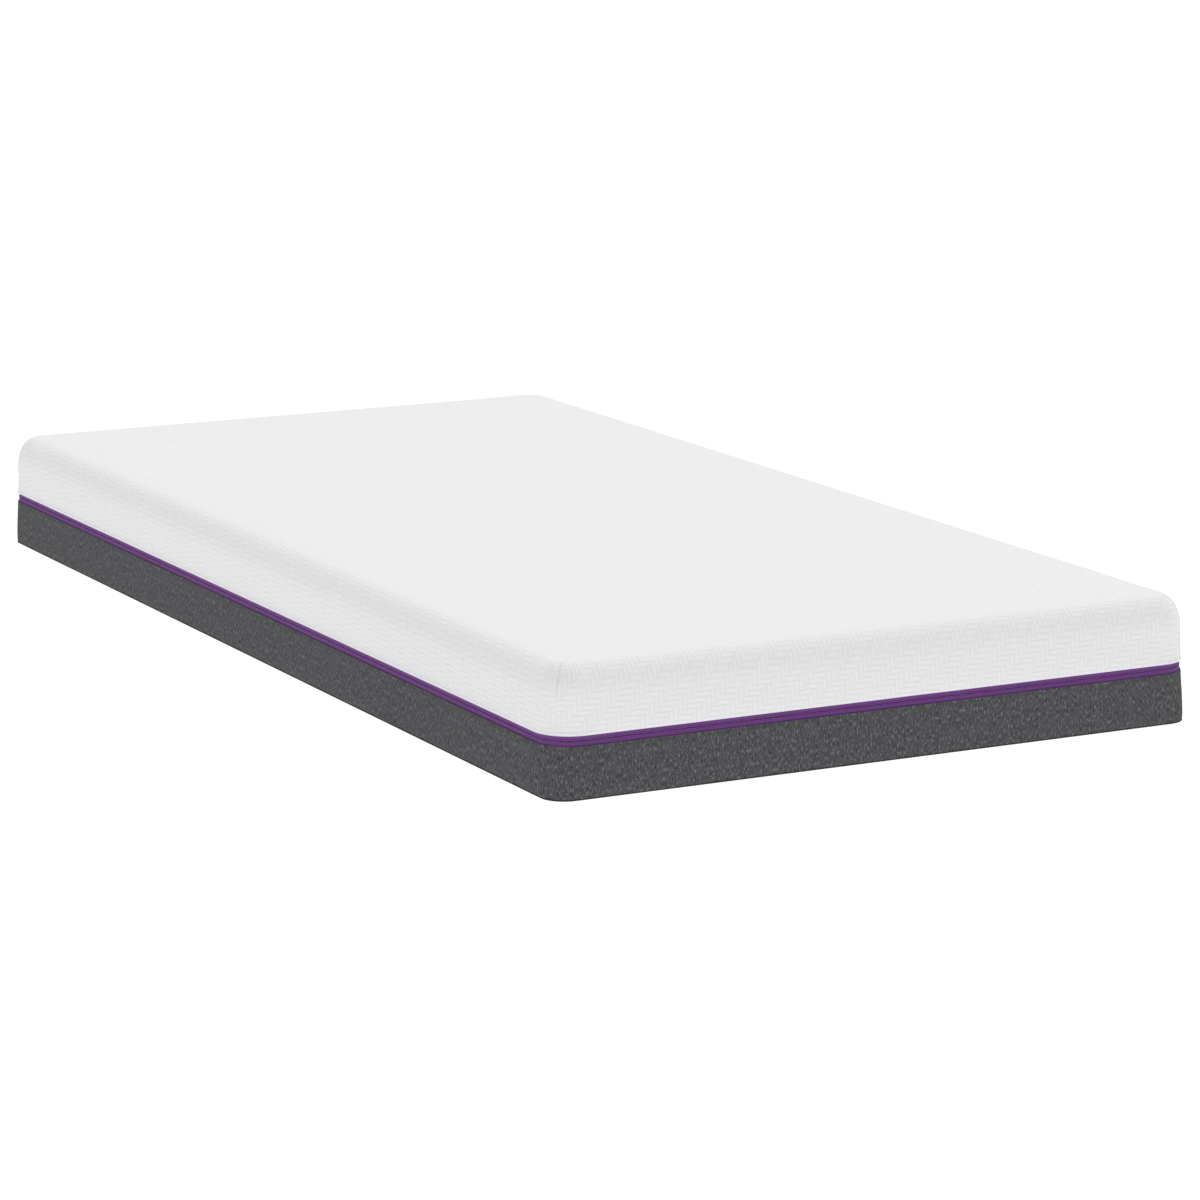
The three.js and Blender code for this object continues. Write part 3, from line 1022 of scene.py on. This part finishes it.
def make_foam(name, node_name, material, rings, slots=()):
    """A foam layer with slightly soft cut edges and, where asked, slots sawn across its top."""
    layer = loft(name, rings, close_low=True, close_high=True)
    slice_grid(PITCH * 2)
    object_mode()
    ease(layer, strength=0.5 * MM, size=0.09)
    if slots:
        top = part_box(node_name)[1][2]
        slot_wide, slot_deep = 6 * MM, 30 * MM
        cutters = [
            block("saw", (0, place, top), (2 * WIDTH, slot_wide, 2 * slot_deep))
            for place in slots
        ]
        cut_away(layer, merge("saw", cutters))
    smooth(layer, 40)
    place_piece(layer, material, "foam_core", name, node_name)


def slab_rings(node_name, soft):
    """A straight layer whose two edges are a little soft."""
    low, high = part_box(node_name)
    inset = WIDTH / 2 - high[0] + FOAM_ROOM
    return [
        (inset + soft, CORNER - inset - soft, low[2]),
        (inset, CORNER - inset, low[2] + soft),
        (inset, CORNER - inset, high[2] - soft),
        (inset + soft, CORNER - inset - soft, high[2]),
    ]


def make_core():
    """Memory foam with a rounded top edge, on two straight layers, the lowest slotted in three zones."""
    foot = slab_rings("memory_foam_layer", 1.5 * MM)[:2]
    inset = foot[-1][0]
    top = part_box("memory_foam_layer")[1][2] - SWELL_ROOM
    rings = foot + crown_rings(inset, top)
    make_foam("memory_foam", "memory_foam_layer", MEMORY, rings)
    rings = slab_rings("transition_foam_layer", 1.2 * MM)
    make_foam("transition_foam", "transition_foam_layer", TRANSITION, rings)
    zones = ((-0.56, 6), (0, 5), (0.56, 6))  # the middle of each, and how many slots it has
    apart = 50 * MM
    slots = [middle + (i - (count - 1) / 2) * apart for middle, count in zones for i in range(count)]
    rings = slab_rings("support_foam_layer", 1.2 * MM)
    make_foam("support_foam", "support_foam_layer", SUPPORT, rings, slots)


# ---- small sewn pieces ----

def make_label():
    """A blank ribbon that hangs from the zip seam in slow waves."""
    low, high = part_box("care_label")
    centre, size = middle_and_size("care_label")
    ribbon_thick, wave = 0.35 * MM, 0.18 * MM
    label = block("care_label_ribbon", centre, (ribbon_thick, size[1], size[2]))
    heights = steps(low[2], high[2], 2.5 * MM)
    edit(label)
    slice_along(2, heights)
    slice_along(1, steps(low[1], high[1], 5 * MM))
    for number, height in enumerate(heights):
        pick(label, "VERT", lambda vertex: abs(vertex.co.z - height) < 0.5 * MM)
        bpy.ops.transform.translate(value=(wave * math.sin(number * 0.45), 0, 0))
    object_mode()
    smooth(label, 60)
    place_piece(label, SATIN, "base_cover", "satin_label", "care_label")


def make_seam_allowances():
    """The dart's two turned edges, pressed flat inside each corner."""
    thick, wide, off_seam = 1.8 * MM, 3.8 * MM, 2.1 * MM
    for name in sorted(frame["nodes"]):
        if not name.startswith("corner_seam_"):
            continue
        centre, size = middle_and_size(name)
        turn = math.atan2(math.copysign(1, centre[1]), math.copysign(1, centre[0]))
        across = Vector((-math.sin(turn), math.cos(turn), 0))
        folds = []
        for side in (-1, 1):
            fold = rounded_box("fold", (0, 0, 0), (thick, wide, size[2]), 0.5 * MM)
            fold.rotation_euler.z = turn
            fold.location = Vector(centre) + across * side * off_seam
            bpy.ops.object.transform_apply(location=True, rotation=True, scale=True)
            folds.append(fold)
        seam = merge(name + "_folds", folds)
        lay_scrap(seam, lambda point: (point.x + point.y, point.z))
        smooth(seam, 60)
        place_piece(seam, WHITE, "top_cover", "white_knit", name)


def finish_stops():
    """The zip's box, pin and end stop keep their own shapes, with its enamel on them."""
    for name in ("zip_retainer_box", "zip_insertion_pin", "zip_end_stop"):
        frame["nodes"][name].data.materials.clear()
        frame["nodes"][name].data.materials.append(ENAMEL)


# ---- floor, light, camera ----

def make_studio():
    """A white floor that glows, an even white sky, and a broad sun from behind on the right."""
    floor_glow, sky, sun_power, sun_spread = 1.06, 0.7, 1.08, math.radians(30)
    to_sun = Vector((0.4, 0.34, 0.84))
    object_mode()
    bpy.ops.mesh.primitive_plane_add(size=120, location=(0, 0, 0))
    floor = bpy.context.object
    floor.name = "studio_floor"
    material, tree = new_material("studio_floor")
    shader = tree.nodes["Principled BSDF"]
    shader.inputs["Base Color"].default_value = (0.05, 0.05, 0.05, 1)
    shader.inputs["Roughness"].default_value = 1
    shader.inputs["Specular IOR Level"].default_value = 0
    shader.inputs["Emission Color"].default_value = (1, 1, 1, 1)
    shader.inputs["Emission Strength"].default_value = floor_glow
    floor.data.materials.append(material)
    world = bpy.data.worlds.new("soft_white")
    world.use_nodes = True
    background = world.node_tree.nodes["Background"]
    background.inputs["Color"].default_value = (1, 1, 1, 1)
    # The sky is seen as pure white, and lights the bed with a little less.
    seen = node(world.node_tree, "ShaderNodeLightPath").outputs["Is Camera Ray"]
    feed(world.node_tree, maths(world.node_tree, "MAXIMUM", seen, sky), background.inputs["Strength"])
    bpy.context.scene.world = world
    sun_data = bpy.data.lights.new("soft_key", "SUN")
    sun_data.energy = sun_power
    sun_data.angle = sun_spread
    sun = bpy.data.objects.new("soft_key", sun_data)
    sun.rotation_euler = to_sun.to_track_quat("Z", "Y").to_euler()
    bpy.context.collection.objects.link(sun)


def make_camera():
    """Low and long, looking along the bed past its near corner."""
    data = bpy.data.cameras.new("camera")
    data.sensor_width = 36
    data.lens = 135.7
    data.clip_end = 200
    camera = bpy.data.objects.new("camera", data)
    turn, tilt, distance = math.radians(27.52), math.radians(11.87), 7.088
    aim = Vector((0.149, 0.111, 0))
    ahead = Vector((math.sin(turn) * math.cos(tilt), math.cos(turn) * math.cos(tilt), -math.sin(tilt)))
    camera.location = aim - ahead * distance
    camera.rotation_euler = (math.pi / 2 - tilt, 0, -turn)
    bpy.context.collection.objects.link(camera)
    bpy.context.scene.camera = camera


make_camera()
make_studio()
make_core()
make_border()
make_underside()
make_top_cover()
make_tape("zip_upper_tape_woven", 1, "zip_upper_tape", "top_cover")
make_tape("zip_lower_tape_woven", -1, "zip_lower_tape", "base_cover")
make_coil("zip_upper_teeth", 1, "zip_upper_coil", "top_cover", ["zip_insertion_pin", "zip_end_stop"])
make_coil("zip_lower_teeth", -1, "zip_lower_coil", "base_cover", ["zip_retainer_box"])
make_slider()
make_pull()
make_patch()
make_label()
make_seam_allowances()
finish_stops()

bpy.context.scene.view_settings.view_transform = "Standard"
